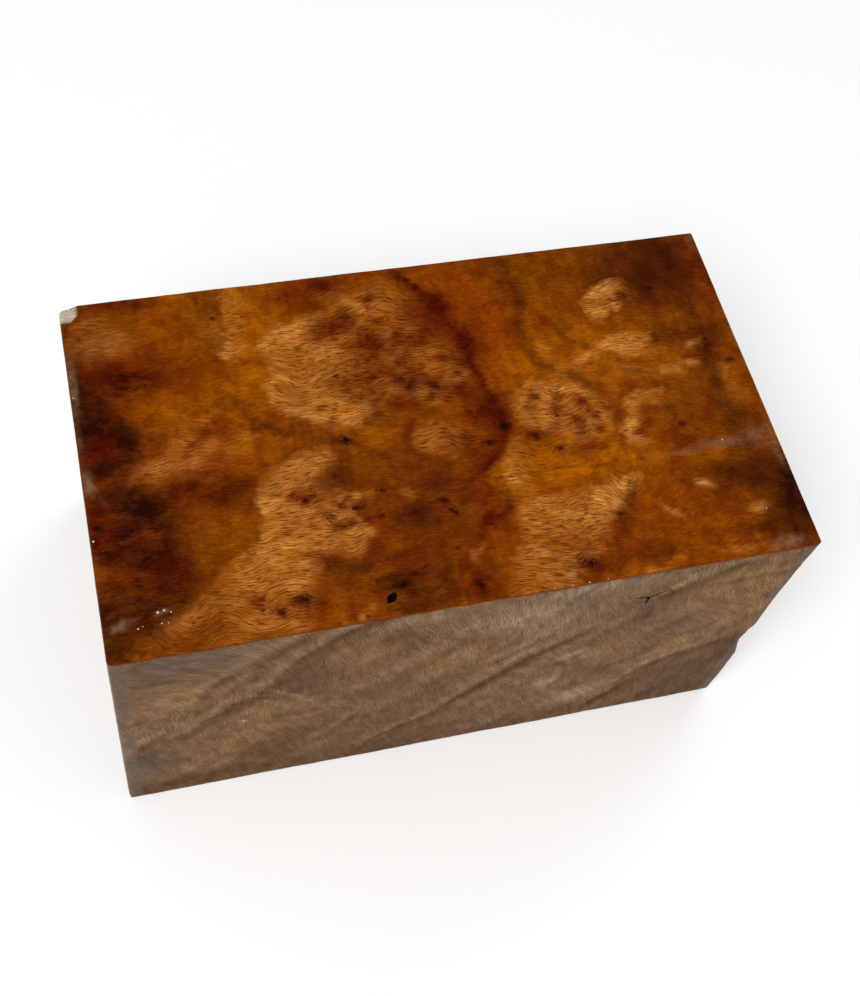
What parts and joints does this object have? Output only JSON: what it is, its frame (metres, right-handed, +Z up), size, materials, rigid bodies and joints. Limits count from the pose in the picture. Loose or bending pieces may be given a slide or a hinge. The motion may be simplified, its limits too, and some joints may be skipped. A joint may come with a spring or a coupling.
{
  "type": "wood turning blank",
  "caption": "Rectangular burl wood turning blank with one planed and oiled figured face, sawn sides, eased edges, a drying check and a small knot hole.",
  "frame": {"origin": "centre of the blank's base, on the surface that it rests on", "axes": "+X along the blank's length towards the worn right end, +Y from the front side to the back, +Z up through the figured face"},
  "size_m": [0.13, 0.074, 0.072],
  "materials": {
    "burl_wood": "top face planed and oiled to a gloss, sides sawn and dry, ends sealed with thin wax"
  },
  "bodies": {
    "root": {"blank": "burl_wood"}
  },
  "joints": []
}
